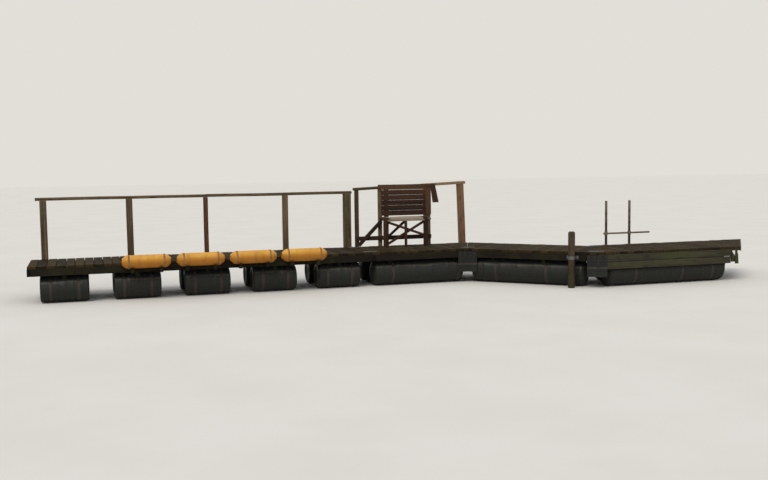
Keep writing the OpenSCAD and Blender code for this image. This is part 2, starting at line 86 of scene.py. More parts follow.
# Each section's place, and its two ends, which stand at x + slope * y
SECTIONS = {
    "walkway": (WALKWAY, 0, 0, WALKWAY_LEN - HALF_GAP, 0),
    "landing": (LANDING, HALF_GAP, 0, LANDING_LEN - HALF_GAP, MITRE),
    "middle": (MIDDLE, HALF_GAP, -MITRE, MIDDLE_LEN - HALF_GAP, -MITRE),
    "outer": (OUTER, HALF_GAP, MITRE, OUTER_FRAME_LEN - HALF_GAP, END_SLOPE),
}


# Colours
def srgb(red, green, blue):
    """A shader socket's colour from its 0 to 255 values."""
    shares = [c / 255 for c in (red, green, blue)]
    return [c / 12.92 if c < 0.04045 else ((c + 0.055) / 1.055) ** 2.4 for c in shares] + [1]


# Materials
class Look:
    """One procedural material, built node by node."""

    def __init__(self, name, slot, metallic=0.0, shine=0.5):
        self.slot = slot
        self.material = bpy.data.materials.new(name)
        self.material.use_nodes = True
        tree = self.material.node_tree
        self.nodes, self.links = tree.nodes, tree.links
        self.shader = self.nodes["Principled BSDF"]
        self.shader.inputs["Metallic"].default_value = metallic
        self.shader.inputs["Specular IOR Level"].default_value = shine

    def put(self, socket, value):
        """Joins a socket to another one, or sets it to a plain value."""
        if isinstance(value, bpy.types.NodeSocket):
            self.links.new(value, socket)
        else:
            socket.default_value = value

    def node(self, kind, inputs, **settings):
        """A node with its settings made and its inputs joined or set."""
        made = self.nodes.new("ShaderNode" + kind)
        for key, value in settings.items():
            setattr(made, key, value)
        for key, value in inputs.items():
            self.put(made.inputs[key], value)
        return made

    def math(self, operation, a, b=0.0):
        return self.node("Math", {0: a, 1: b}, operation=operation).outputs[0]

    def times(self, a, b):
        return self.math("MULTIPLY", a, b)

    def plus(self, a, b):
        return self.math("ADD", a, b)

    def minus(self, a, b):
        return self.math("SUBTRACT", a, b)

    def stretch(self, vector, scale):
        return self.node("VectorMath", {0: vector, 1: scale}, operation="MULTIPLY").outputs[0]

    def weighted(self, total, *terms):
        """Adds values to a total, each given with its weight."""
        for value, weight in terms:
            total = self.plus(total, self.times(value, weight))
        return total

    def noise(self, vector, scale, detail=3.0, roughness=0.55):
        """Noise of one scale, or of one for each axis."""
        if isinstance(scale, tuple):
            vector, scale = self.stretch(vector, scale), 1.0
        values = {"Vector": vector, "Scale": scale, "Detail": detail, "Roughness": roughness}
        return self.node("TexNoise", values).outputs[0]

    def fade(self, value, start, end, low=0.0, high=1.0):
        """Runs smoothly from low to high while the value goes from start to end."""
        values = {"Value": value, "From Min": start, "From Max": end, "To Min": low, "To Max": high}
        return self.node("MapRange", values, interpolation_type="SMOOTHSTEP").outputs[0]

    def mix(self, share, a, b, blend="MIX"):
        """Mixes two colours, each a socket or its 0 to 255 values."""
        a, b = [srgb(*colour) if isinstance(colour, tuple) else colour for colour in (a, b)]
        values = {0: share, 6: a, 7: b}
        return self.node("Mix", values, data_type="RGBA", blend_type=blend).outputs[2]

    def attribute(self, name, output):
        return self.node("Attribute", {}, attribute_name=name).outputs[output]

    def geometry(self, output):
        return self.node("NewGeometry", {}).outputs[output]

    def part(self, vector, axis):
        return self.node("SeparateXYZ", {0: vector}).outputs[axis]

    def finish(self, colour, roughness, height, depth):
        """Joins the shader's inputs, with a bump of that depth, and gives the slot and the material."""
        bump = self.node("Bump", {"Height": height, "Distance": depth}).outputs[0]
        for key, value in (("Base Color", colour), ("Roughness", roughness), ("Normal", bump)):
            self.put(self.shader.inputs[key], value)
        return self.slot, self.material


def wood(name, slot, dark, light, bleached, bleach, algae, shine=0.22):
    """Weathered timber: rings, fibres, streaks, knots and checks along each board's own grain."""
    look = Look(name, slot, shine=shine)
    grain = look.attribute("grain", "Vector")
    tone = look.attribute("tone", "Fac")
    warm = look.attribute("warm", "Fac")
    place = look.geometry("Position")
    height = look.part(place, 2)
    up = look.part(look.geometry("True Normal"), 2)

    streaks = look.noise(grain, (1.1, 22, 22), 4, 0.6)
    fibres = look.noise(grain, (9, 240, 240), 3, 0.6)
    wave = {"Vector": look.stretch(grain, (0.12, 1, 1)), "Scale": 22, "Distortion": 3.0, "Detail Scale": 2.0}
    rings = look.node("TexWave", wave, wave_type="RINGS", rings_direction="X").outputs["Fac"]
    splits = look.noise(grain, (0.8, 38, 38), 2, 0.5)
    check = look.fade(look.math("ABSOLUTE", look.minus(splits, 0.5)), 0.004, 0.02, 1.0, 0.0)
    long_check = look.noise(grain, (1.6, 5, 5), 1.0)
    check = look.times(check, look.fade(long_check, 0.5, 0.62))
    knot_cells = look.node("TexVoronoi", {"Vector": look.stretch(grain, (2.6, 8, 8)), "Scale": 1.0})
    knot = look.fade(knot_cells.outputs["Distance"], 0.05, 0.2, 1.0, 0.0)
    patches = look.noise(place, 1.7, 5, 0.62)
    spots = look.noise(place, 19.0, 4, 0.6)

    share = look.weighted(-0.375, (streaks, 0.9), (fibres, 0.35), (rings, 0.22), (tone, 0.75))
    colour = look.mix(look.fade(share, 0.35, 1.1), dark, light)
    reddened = look.mix(1.0, colour, (255, 176, 148), "MULTIPLY")
    colour = look.mix(warm, colour, reddened)
    paler_above = look.times(look.fade(up, 0.35, 0.95), look.fade(patches, 0.28, 0.66))
    paler_above = look.times(paler_above, look.fade(streaks, 0.2, 0.7, 0.4, 1.0))
    colour = look.mix(look.times(paler_above, bleach), colour, bleached)
    blotched = look.mix(look.fade(spots, 0.52, 0.72, 0.0, 0.3), colour, dark)
    damp = look.fade(look.weighted(height, (patches, 0.22)), 0.36, 0.66, 1.0, 0.0)
    wet = look.mix(1.0, blotched, (150, 140, 126), "MULTIPLY")
    colour = look.mix(look.times(damp, 0.8), blotched, wet)
    green = look.times(look.fade(patches, 0.46, 0.68), look.fade(height, 0.3, 0.75, 1.0, 0.15))
    colour = look.mix(look.times(green, algae), colour, (62, 68, 34))
    marks = look.math("MAXIMUM", look.times(check, 0.85), look.times(knot, 0.7))
    colour = look.mix(marks, colour, (24, 17, 12))

    roughness = look.weighted(0.68, (streaks, 0.2), (damp, -0.26))
    relief = look.weighted(0.0, (fibres, 0.5), (rings, 0.25), (streaks, 0.7), (check, -1.2))
    return look.finish(colour, roughness, relief, 0.003)


def moulded_plastic(name, body, faded_and_top_lit, grime, sheen_spread):
    """Moulded polyethylene, paler above from sun fading and a painted top highlight, with scuffs, dust and a
    stained waterline.
    """
    look = Look(name, name, shine=0.3)
    place = look.geometry("Position")
    height = look.part(place, 2)
    up = look.part(look.geometry("Normal"), 2)
    clouds = look.noise(place, 2.6, 5, 0.6)
    scuffs = look.noise(place, (30, 30, 90), 4, 0.62)
    pores = look.noise(place, 160.0, 2, 0.5)
    runs = look.noise(place, (16, 16, 1.3), 3, 0.6)

    # Upward faces turn paler: partly sun fading, partly a painted top highlight.
    paler_above = look.times(look.fade(up, -0.2, 0.9), look.fade(clouds, 0.2, 0.8, 0.55, 1.0))
    colour = look.mix(paler_above, body, faded_and_top_lit)
    colour = look.mix(look.fade(scuffs, 0.62, 0.74, 0.0, 0.35), colour, faded_and_top_lit)
    colour = look.mix(look.times(look.fade(runs, 0.5, 0.7), 0.35), colour, grime)
    edge = look.weighted(height, (clouds, 0.06))
    film = look.fade(edge, WATERLINE - 0.03, WATERLINE + 0.05, 1.0, 0.0)
    film = look.times(film, look.fade(runs, 0.25, 0.6, 0.35, 0.9))
    colour = look.mix(look.times(film, 0.55), colour, grime)
    rim = look.math("ABSOLUTE", look.minus(edge, WATERLINE + 0.045))
    scum = look.fade(scuffs, 0.3, 0.6, 0.1, 0.5)
    scum = look.times(look.fade(rim, 0.004, 0.022, 1.0, 0.0), scum)
    colour = look.mix(scum, colour, (86, 81, 62))

    roughness = look.weighted(look.fade(scuffs, 0.3, 0.75, 0.36, 0.36 + sheen_spread), (film, 0.25))
    return look.finish(colour, roughness, look.weighted(clouds, (pores, 0.4)), 0.0015)


STEEL_SLOT = "galvanised_steel"


def zinc_steel(name):
    """Galvanised steel with its spangle, dull patches and a little rust."""
    look = Look(name, STEEL_SLOT, metallic=0.85)
    place = look.geometry("Position")
    spangle = look.part(look.node("TexVoronoi", {"Vector": place, "Scale": 130.0}).outputs["Color"], 0)
    dull = look.noise(place, 7.0, 4, 0.6)
    pits = look.noise(place, 60.0, 4, 0.65)
    colour = look.mix(look.times(spangle, 0.5), (104, 106, 106), (134, 136, 135))
    colour = look.mix(look.fade(dull, 0.4, 0.7, 0.0, 0.6), colour, (88, 88, 85))
    rust = look.times(look.fade(pits, 0.56, 0.7), look.fade(dull, 0.45, 0.62))
    colour = look.mix(look.times(rust, 0.8), colour, (104, 62, 38))
    roughness = look.weighted(0.32, (dull, 0.3), (rust, 0.3))
    return look.finish(colour, roughness, pits, 0.0008)


def rusty_steel(name, plain, rust, metallic):
    """Steel of bands, tubes and screw heads, brown with rust."""
    look = Look(name, STEEL_SLOT, metallic=metallic)
    place = look.geometry("Position")
    bloom = look.noise(place, 14.0, 5, 0.65)
    grit = look.noise(place, 120.0, 3, 0.6)
    colour = look.mix(look.fade(bloom, 0.35, 0.68), plain, rust)
    colour = look.mix(look.fade(grit, 0.55, 0.75, 0.0, 0.5), colour, (52, 40, 32))
    return look.finish(colour, look.fade(bloom, 0.3, 0.7, 0.45, 0.8), grit, 0.0008)


deck_wood = wood("deck_wood", "deck_boards", (28, 22, 13), (62, 50, 32), (72, 62, 43), 0.4, 0.2, 0.06)
# The frame's near-black colours are partly wet timber and partly painted shade of the underside below the
# deck.
frame_wood = wood("frame_wood", "frame_timber", (16, 14, 10), (37, 31, 23), (50, 43, 33), 0.2, 0.25, 0.1)
rail_wood = wood("rail_wood", "rail_timber", (60, 49, 33), (138, 117, 88), (152, 138, 114), 0.45, 0.12)
dark_wood = wood("dark_wood", "dark_timber", (34, 23, 15), (80, 55, 37), (94, 75, 57), 0.3, 0.1)
seat_wood = wood("seat_wood", "seat_timber", (104, 90, 74), (176, 160, 140), (188, 178, 164), 0.55, 0.08)
olive_wood = wood("olive_wood", "olive_timber", (40, 38, 26), (76, 72, 52), (92, 88, 70), 0.35, 0.5)
stake_wood = wood("stake_wood", "stake_timber", (44, 34, 25), (96, 76, 58), (112, 98, 80), 0.5, 0.3)
# Plastic colours are body, paler top and grime; the paler top is partly sun fading, partly a painted top
# highlight.
black_plastic = moulded_plastic("black_plastic", (16, 18, 19), (34, 37, 38), (40, 40, 31), 0.3)
yellow = ((166, 106, 24), (226, 169, 68), (110, 77, 33))
yellow_plastic = moulded_plastic("yellow_plastic", *yellow, 0.2)
zinc = zinc_steel("zinc")
rusty = rusty_steel("rusty", (70, 66, 61), (104, 70, 47), 0.55)
dark_steel = rusty_steel("dark_steel", (48, 47, 45), (62, 48, 38), 0.4)
ochre_steel = rusty_steel("ochre_steel", (150, 110, 58), (116, 80, 44), 0.15)
worn_steel = rusty_steel("worn_steel", (116, 108, 96), (92, 72, 56), 0.35)


def stand(name, data):
    """A new object in the scene."""
    made = bpy.data.objects.new(name, data)
    bpy.context.scene.collection.objects.link(made)
    return made


# Mesh code
class Piece:
    """Gathers closed shapes into one mesh, with grain, tone and warmth kept for each of them."""

    def __init__(self, name, place=WALKWAY):
        self.name = name
        self.place = place
        self.rng = random.Random(name + "0")
        self.verts, self.faces, self.smooth = [], [], []
        self.grain, self.tone, self.warm = [], [], []

    def take(self, bm, matrix, tone=0.5, warm=0.0, smooth=False):
        """Adds a shape made in its own axes, the grain along X, and puts it at matrix in the section."""
        base = len(self.verts)
        shift = Vector([self.rng.uniform(-9, 9) for _ in range(3)])
        shift.y = self.rng.uniform(-0.12, 0.12)
        shift.z = self.rng.uniform(0.03, 0.12)
        whole = self.place @ matrix
        bm.verts.index_update()
        for vert in bm.verts:
            self.verts.append(whole @ vert.co)
            self.grain.extend(vert.co + shift)
            self.tone.append(tone)
            self.warm.append(warm)
        for face in bm.faces:
            self.faces.append([base + vert.index for vert in face.verts])
            self.smooth.append(smooth)
        bm.free()

    def take_board(self, bm, matrix, tone, warm):
        """Adds a board whose tone is random, or near the one given."""
        drawn = self.rng.random()
        self.take(bm, matrix, drawn if tone is None else tone + 0.2 * (drawn - 0.5), warm)

    def finish(self, look, *nodes):
        """Makes the object, lets it ride and hides the CAD nodes that it stands for."""
        mesh = bpy.data.meshes.new(self.name)
        mesh.from_pydata(self.verts, [], self.faces)
        mesh.polygons.foreach_set("use_smooth", self.smooth)
        mesh.attributes.new("grain", "FLOAT_VECTOR", "POINT").data.foreach_set("vector", self.grain)
        mesh.attributes.new("tone", "FLOAT", "POINT").data.foreach_set("value", self.tone)
        mesh.attributes.new("warm", "FLOAT", "POINT").data.foreach_set("value", self.warm)
        slot, material = look
        mesh.materials.append(material)
        piece = stand(self.name, mesh)
        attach(piece, "root")
        if nodes:
            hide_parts(*nodes)


def loft(rings):
    """A closed shape through rings of points, all of one length."""
    bm = bmesh.new()
    rows = [[bm.verts.new(point) for point in ring] for ring in rings]
    for first, second in zip(rows, rows[1:]):
        for i in range(len(first)):
            j = (i + 1) % len(first)
            bm.faces.new((first[i], first[j], second[j], second[i]))
    bm.faces.new(reversed(rows[0]))
    bm.faces.new(rows[-1])
    bmesh.ops.recalc_face_normals(bm, faces=bm.faces)
    return bm


def ease(bm, offset):
    """Takes the sharpness off every edge."""
    bmesh.ops.bevel(bm, geom=bm.edges[:], offset=offset, segments=1, affect="EDGES")


def board_shape(length, width, depth, rng, edge=0.003, bow=0.0015, step=0.16):
    """A board along X about the origin, with worn edges and a slight bow."""
    count = max(2, round(length / step))
    inner = [length * (i / count - 0.5) for i in range(1, count)]
    half = length / 2
    stations = [(-half, edge), (edge - half, 0)] + [(x, 0) for x in inner] + [(half - edge, 0), (half, edge)]
    start = rng.uniform(0, 90)
    rings = []
    for x, inset in stations:
        along = x * 1.1 + start
        sway = bow * noise.noise(Vector((along, 0, 0)))
        lift = bow * noise.noise(Vector((along, 7, 0)))
        worn = edge * (1 + 0.5 * noise.noise(Vector((along * 4, 3, 0))))
        y = width / 2 - inset
        z = depth / 2 - inset
        corners = [
            (y, worn - z), (y, z - worn), (y - worn, z), (worn - y, z),
            (-y, z - worn), (-y, worn - z), (worn - y, -z), (y - worn, -z),
        ]
        rings.append([(x, a + sway, b + lift) for a, b in corners])
    return loft(rings)


def cut(bm, matrix, planes):
    """Cuts off what lies beyond each plane: a point and an outward direction in the section."""
    back = matrix.inverted()
    turn = back.to_3x3()
    for point, outward in planes:
        geometry = bm.verts[:] + bm.edges[:] + bm.faces[:]
        bmesh.ops.bisect_plane(
            bm, geom=geometry, dist=1e-6, plane_co=back @ Vector(point),
            plane_no=turn @ Vector(outward), clear_outer=True
        )
        rim = [edge for edge in bm.edges if edge.is_boundary]
        if rim:
            bmesh.ops.holes_fill(bm, edges=rim, sides=0)


AXES = {
    "x": ((1, 0, 0), (0, 1, 0), (0, 0, 1)),
    "y": ((0, 1, 0), (-1, 0, 0), (0, 0, 1)),
    "z": ((0, 0, 1), (1, 0, 0), (0, 1, 0)),
}


def axes_matrix(centre, along, across, through):
    """A matrix whose columns are the board's three directions, standing at its centre."""
    turn = Matrix((along, across, through)).transposed().to_4x4()
    return Matrix.Translation(centre) @ turn


def block(piece, low, high, along="x", tone=None, warm=0.0, planes=(), **shape):
    """A board that fills the box from low to high in the section."""
    low, high = Vector(low), Vector(high)
    size = high - low
    directions = [Vector(d) for d in AXES[along]]
    length, width, depth = [abs(size.dot(d)) for d in directions]
    matrix = axes_matrix((low + high) / 2, *directions)
    bm = board_shape(length, width, depth, piece.rng, **shape)
    cut(bm, matrix, planes)
    piece.take_board(bm, matrix, tone, warm)


def bar(piece, start, end, width, depth, tone=0.5, warm=0.0, planes=(), **shape):
    """A board from start to end, both in a plane of constant y, with its depth along y."""
    start, end = Vector(start), Vector(end)
    along = (end - start).normalized()
    through = Vector((0, 1, 0))
    matrix = axes_matrix((start + end) / 2, along, through.cross(along), through)
    bm = board_shape((end - start).length, width, depth, piece.rng, **shape)
    cut(bm, matrix, planes)
    piece.take(bm, matrix, tone, warm)


def end_planes(x0, slope0, x1, slope1):
    """The two slanted ends of a section: an end stands at x + slope * y."""
    return [((x0, 0, 0), (-1, slope0, 0)), ((x1, 0, 0), (1, -slope1, 0))]


def long_board(piece, x0, slope0, x1, slope1, y0, y1, z0, z1, **shape):
    """A board along X with slanted ends."""
    low = (min(x0 + slope0 * y for y in (y0, y1)), y0, z0)
    high = (max(x1 + slope1 * y for y in (y0, y1)), y1, z1)
    block(piece, low, high, planes=end_planes(x0, slope0, x1, slope1), **shape)


def cross_board(piece, x0, x1, slope, y0, y1, z0, z1, tone=None, warm=0.0, **shape):
    """A board that runs from y0 to y1 along a slanted line, its ends cut parallel to X."""
    angle = atan(slope)
    along = Vector((sin(angle), cos(angle), 0))
    across = Vector((-cos(angle), sin(angle), 0))
    middle_y = (y0 + y1) / 2
    centre = ((x0 + x1) / 2 + slope * middle_y, middle_y, (z0 + z1) / 2)
    matrix = axes_matrix(centre, along, across, (0, 0, 1))
    width = (x1 - x0) * cos(angle)
    length = (y1 - y0) / cos(angle) + 2 * abs(slope) * width
    bm = board_shape(length, width, z1 - z0, piece.rng, **shape)
    cut(bm, matrix, [((0, y0, 0), (0, -1, 0)), ((0, y1, 0), (0, 1, 0))])
    piece.take_board(bm, matrix, tone, warm)


def revolve(profile, segments=48, closed=False):
    """A shape round the X axis from points of (radius, x). A closed profile makes a ring."""
    bm = bmesh.new()
    turns = [2 * pi * i / segments for i in range(segments)]
    rings = []
    for radius, x in profile:
        round_x = turns if radius else [0]
        rings.append([bm.verts.new((x, radius * sin(a), radius * cos(a))) for a in round_x])
    pairs = list(zip(rings, rings[1:]))
    if closed:
        pairs.append((rings[-1], rings[0]))
    for first, second in pairs:
        near, far = len(first), len(second)
        for i in range(segments):
            j = (i + 1) % segments
            corners = (first[i % near], first[j % near], second[j % far], second[i % far])
            bm.faces.new(list(dict.fromkeys(corners)))
    bmesh.ops.recalc_face_normals(bm, faces=bm.faces)
    return bm


def arc(centre_r, centre_x, radius, start, end, count=5):
    """Points of (radius, x) on an arc, its angles in degrees from straight out."""
    angles = [radians(start + (end - start) * i / count) for i in range(count + 1)]
    return [(centre_r + radius * cos(a), centre_x + radius * sin(a)) for a in angles]


def at(x, y, z):
    return Matrix.Translation((x, y, z))


def spin(angle, axis):
    return Matrix.Rotation(angle, 4, axis)


UPRIGHT = spin(-pi / 2, "Y")
OUT_LEFT = spin(pi / 2, "Z")
OUT_RIGHT = spin(-pi / 2, "Z")


def sawn_board(piece, outline, y0, y1, tone, warm=0.0, slant=0.0):
    """A board sawn to an outline of (x, z) between y0 and y1, its grain turned by slant about Y."""
    turn = spin(slant, "Y")
    back = turn.inverted()
    bm = loft([[back @ Vector((x, y, z)) for x, z in outline] for y in (y0, y1)])
    ease(bm, 0.0018)
    piece.take(bm, turn, tone, warm)


def small_block(piece, matrix, size, offset=0.001):
    """A small block with eased edges."""
    bm = bmesh.new()
    bmesh.ops.create_cube(bm, size=1)
    bmesh.ops.scale(bm, vec=size, verts=bm.verts)
    ease(bm, offset)
    piece.take(bm, matrix)


def screw(piece, x, y, z, turn=UPRIGHT, size=0.0055):
    """A low domed screw head."""
    head = [(0, -0.002), (size, -0.002), (size, 0.0006), (size * 0.55, 0.0014), (0, 0.0016)]
    piece.take(revolve(head, 8), at(x, y, z) @ turn, smooth=True)


def hex_bolt(piece, x, y, z, turn, size):
    """A washer and a hexagon head that stand out along the X axis of turn."""
    washer = [(0, 0), (size * 1.9, 0), (size * 1.9, size * 0.2), (0, size * 0.2)]
    piece.take(revolve(washer, 16), at(x, y, z) @ turn)
    head = [(0, 0), (size, 0), (size, size * 0.75), (size * 0.85, size * 0.95), (0, size * 0.95)]
    piece.take(revolve(head, 6), at(x, y, z) @ turn)


# Decks
BOARD_PITCH = 0.128
BOARD_GAP = 0.007
SCREW_IN = 0.03
JOIST_Y = (BEAM_T / 2 - HALF_W, 0, HALF_W - BEAM_T / 2)


def deck(section, place, x0, slope0, x1, slope1, half_w=HALF_W):
    """Crosswise boards with ragged ends, and two screws over each stringer."""
    piece = Piece(section + "_boards", place)
    screws = Piece(section + "_boards_screws", place)
    planes = end_planes(x0, slope0, x1, slope1)
    start = x0 - abs(slope0) * half_w
    end = x1 + abs(slope1) * half_w
    count = round((end - start) / BOARD_PITCH)
    pitch = (end - start) / count
    rng = piece.rng
    for i in range(count):
        left = start + i * pitch + BOARD_GAP / 2
        right = left + pitch - BOARD_GAP
        drop = rng.uniform(0, 0.003)
        reach = [half_w - rng.uniform(0, 0.009) for _ in range(2)]
        tilt = rng.uniform(-0.001, 0.001)
        low = (left, -reach[0], DECK_Z + 0.001)
        high = (right, reach[1], DECK_TOP - drop + tilt)
        block(piece, low, high, "y", planes=planes, edge=0.004, bow=0.003, tone=rng.uniform(0.15, 0.85))
        for y in JOIST_Y:
            for x in (left + SCREW_IN, right - SCREW_IN):
                if x0 + slope0 * y + SCREW_IN < x < x1 + slope1 * y - SCREW_IN:
                    spot = (x + rng.uniform(-0.004, 0.004), y + rng.uniform(-0.008, 0.008))
                    screw(screws, *spot, DECK_TOP - drop)
    piece.finish(deck_wood, section + "_deck")
    screws.finish(rusty)


for section in ("walkway", "landing", "middle"):
    deck(section, *SECTIONS[section])
deck("outer", OUTER, HALF_GAP, MITRE, OUTER_LEN - FASCIA_T, END_SLOPE, OUTER_HALF_W)


# Frames under the decks
RIB_PITCH = 2 * FLOAT_Y * MITRE


def steps(grid, counts):
    return [grid + i * RIB_PITCH for i in counts]


LANDING_GRID = 0.3
MIDDLE_GRID = MIDDLE_LEN / 2 - 1.5 * RIB_PITCH
OUTER_GRID = 0.4
BARREL_X = [0.49 + i for i in range(5)]
LANDING_X = steps(LANDING_GRID, (0, 4))
MIDDLE_X = steps(MIDDLE_GRID, (0, 3))
# Places of the chocks over near and far floats, each under a short beam
CHOCK_X = {
    "walkway": (BARREL_X, BARREL_X), "landing": (LANDING_X, LANDING_X), "middle": (MIDDLE_X, MIDDLE_X),
    "outer": (steps(OUTER_GRID, (0, 3, 5)), steps(OUTER_GRID, (0, 3, 7))),
}


def stringers(section, place, x0, slope0, x1, slope1):
    piece = Piece(section + "_long_timbers", place)
    for y in (-HALF_W, -BEAM_T / 2, HALF_W - BEAM_T):
        long_board(
            piece, x0 + BEAM_T, slope0, x1 - BEAM_T, slope1, y, y + BEAM_T, FRAME_Z, DECK_Z,
            edge=0.004, bow=0.004, step=0.3
        )
    piece.finish(frame_wood, section + "_stringers")


def crossbeams(section, place, x0, slope0, x1, slope1):
    piece = Piece(section + "_cross_timbers", place)
    for x, slope in ((x0, slope0), (x1 - BEAM_T, slope1)):
        cross_board(piece, x, x + BEAM_T, slope, -HALF_W, HALF_W, FRAME_Z, DECK_Z, edge=0.004, bow=0.002)
    for row, y in zip(CHOCK_X[section], (BEAM_T - HALF_W, BEAM_T / 2)):
        for x in row:
            low = (x - BEAM_T / 2, y, FRAME_Z)
            high = (x + BEAM_T / 2, y + HALF_W - 1.5 * BEAM_T, DECK_Z)
            block(piece, low, high, "y", edge=0.004)
    piece.finish(frame_wood, section + "_crossbeams")


CHOCK_T = 0.06
CHOCK_HALF_Y = 0.15


def chocks(section, place):
    """Chocks over the floats, each cut to the float's round."""
    piece = Piece(section + "_chocks", place)
    reach = asin(CHOCK_HALF_Y / BODY_R)
    angles = [reach * (1 - i / 7) for i in range(15)]
    outline = [(-CHOCK_HALF_Y, FLOAT_R), (CHOCK_HALF_Y, FLOAT_R)]
    outline += [(BODY_R * sin(a), BODY_R * cos(a)) for a in angles]
    for row, side in zip(CHOCK_X[section], (-1, 1)):
        for x in row:
            bm = loft([[(y, z, face_x) for y, z in outline] for face_x in (-CHOCK_T / 2, CHOCK_T / 2)])
            matrix = axes_matrix((x, side * FLOAT_Y, FLOAT_R), (0, 1, 0), (0, 0, 1), (1, 0, 0))
            piece.take(bm, matrix, piece.rng.uniform(0.1, 0.6))
    piece.finish(frame_wood, section + "_cradles")


for section, ends in SECTIONS.items():
    stringers(section, *ends)
    crossbeams(section, *ends)
    chocks(section, ends[0])

# Rubber strips that close the joints between the sections
RUBBER_T = 0.008
RUBBER_Y = HALF_W - 0.004
RUBBER_Z = (FRAME_Z + 0.012, DECK_TOP - 0.006)
piece = Piece("joint_rubbers", LANDING)
for place, slope in ((LANDING, 0), (MIDDLE, -MITRE), (OUTER, MITRE)):
    piece.place = place
    strip = (-RUBBER_T / 2, RUBBER_T / 2, slope, -RUBBER_Y, RUBBER_Y)
    cross_board(piece, *strip, *RUBBER_Z, edge=0.001, bow=0.001)
piece.finish(black_plastic)

# Dark sheets bolted over the near side of the two mitred joints, painted shade that darkens the gaps between
# the floats
FLAP_T = 0.006
FLAP_GAP = 0.0005
FLAP_LEG = 0.16
FLAP_Z = (0.17, DECK_Z - 0.004)
FLAP_BOLT_X = (0.045, 0.125)
FLAP_BOLT_Z = (DECK_Z - 0.03, FRAME_Z + 0.025)


def flap(piece, points, low, high):
    """A dark sheet on a line of plan points, its thickness to the right of the line."""
    rings = []
    for i, point in enumerate(points):
        before = points[max(i - 1, 0)]
        after = points[min(i + 1, len(points) - 1)]
        along = (after - before).normalized()
        outer = point + Vector((along.y, -along.x, 0)) * FLAP_T
        corners = [(point, low), (outer, low), (outer, high), (point, high)]
        rings.append([(spot.x, spot.y, z) for spot, z in corners])
    bm = loft(rings)
    ease(bm, 0.0012)
    piece.take(bm, Matrix.Identity(4))


rubbers = Piece("joint_flaps", Matrix.Identity(4))
washers = Piece("flap_bolts", Matrix.Identity(4))
JOINTS = (
    (LANDING, LANDING_LEN, MITRE, HALF_W, MIDDLE, -MITRE, HALF_W),
    (MIDDLE, MIDDLE_LEN, -MITRE, HALF_W, OUTER, MITRE, OUTER_HALF_W),
)
for before, length, slope0, width0, after, slope1, width1 in JOINTS:
    y0 = -width0 - FLAP_GAP
    y1 = -width1 - FLAP_GAP
    end = length + slope0 * y0
    start = slope1 * y1
    corner = before @ Vector((end + (y0 - y1) / sin(TURN), y0, 0))
    line = [before @ Vector((end - FLAP_LEG, y0, 0)), corner, after @ Vector((start + FLAP_LEG, y1, 0))]
    flap(rubbers, line, *FLAP_Z)
    spots = [(before, end - reach, y0) for reach in reversed(FLAP_BOLT_X)]
    spots += [(after, start + reach, y1) for reach in FLAP_BOLT_X]
    for place, x, y in spots:
        washers.place = place
        for z in FLAP_BOLT_Z:
            hex_bolt(washers, x, y - FLAP_T, z, OUT_RIGHT, 0.007)
rubbers.finish(black_plastic)
washers.finish(dark_steel)


# Barrels, pontoons and yellow floats
SIDES = ((-1, "near"), (1, "far"))
BARREL_LEN = 0.66
HOOP_OFFSET = 0.11
RIM_W = 0.022
SHOULDER_R = 0.03
RECESS = 0.014
LUG = (0.005, 0.006, 0.036)


def bump_points(x, height, half, count=8):
    """A rounded hoop that stands out of the barrel's side."""
    shares = [i / count for i in range(count + 1)]
    return [(BODY_R + height * sin(pi * s) ** 2, x + half * (2 * s - 1)) for s in shares]


def barrel_profile():
    half = BARREL_LEN / 2
    rim = BODY_R - SHOULDER_R - RIM_W
    end = [(0, RECESS - half), (rim - 0.012, RECESS - half), (rim - 0.004, RECESS * 0.6 - half)]
    end += [(rim - 0.001, 0.002 - half), (rim + 0.004, -half)]
    end += arc(BODY_R - SHOULDER_R, SHOULDER_R - half, SHOULDER_R, -90, 0, 7)
    end += bump_points(-0.235, 0.0025, 0.012)
    side = bump_points(-HOOP_OFFSET, FLOAT_R - BODY_R, 0.022)
    seam = [(BODY_R, -0.004), (BODY_R + 0.0018, -0.0012), (BODY_R + 0.0018, 0.0012), (BODY_R, 0.004)]
    mirrored = [(r, -x) for r, x in reversed(end + side)]
    return end + side + seam + mirrored


def bung(piece, matrix):
    """A threaded bung in a recess, with its two lugs."""
    collar = [(0, 0), (0.034, 0), (0.034, 0.003), (0.03, 0.006), (0.028, 0.006), (0.026, 0.004), (0, 0.004)]
    piece.take(revolve(collar, 24), matrix)
    for turn in (0, pi / 2):
        small_block(piece, matrix @ at(LUG[0], 0, 0) @ spin(turn, "X"), LUG, 0.0012)


def barrels(side, word):
    piece = Piece(word + "_barrels")
    profile = barrel_profile()
    for x in BARREL_X:
        centre = at(x, side * FLOAT_Y, FLOAT_R) @ spin(piece.rng.uniform(-0.4, 0.4), "X")
        piece.take(revolve(profile, 56), centre, smooth=True)
        for end, facing in ((-1, pi), (1, 0)):
            reach = end * (BARREL_LEN / 2 - RECESS - 0.001)
            for y in (-BODY_R / 2, BODY_R / 2):
                bung(piece, centre @ at(reach, y, 0) @ spin(facing, "Z"))
    piece.finish(black_plastic, f"walkway_{word}_barrels")


DOME_H = 0.07
RIB_FOOT = 0.02
RIB_CLEAR = 0.03
WELD_IN = DOME_H + 0.008
MARGIN = 0.024


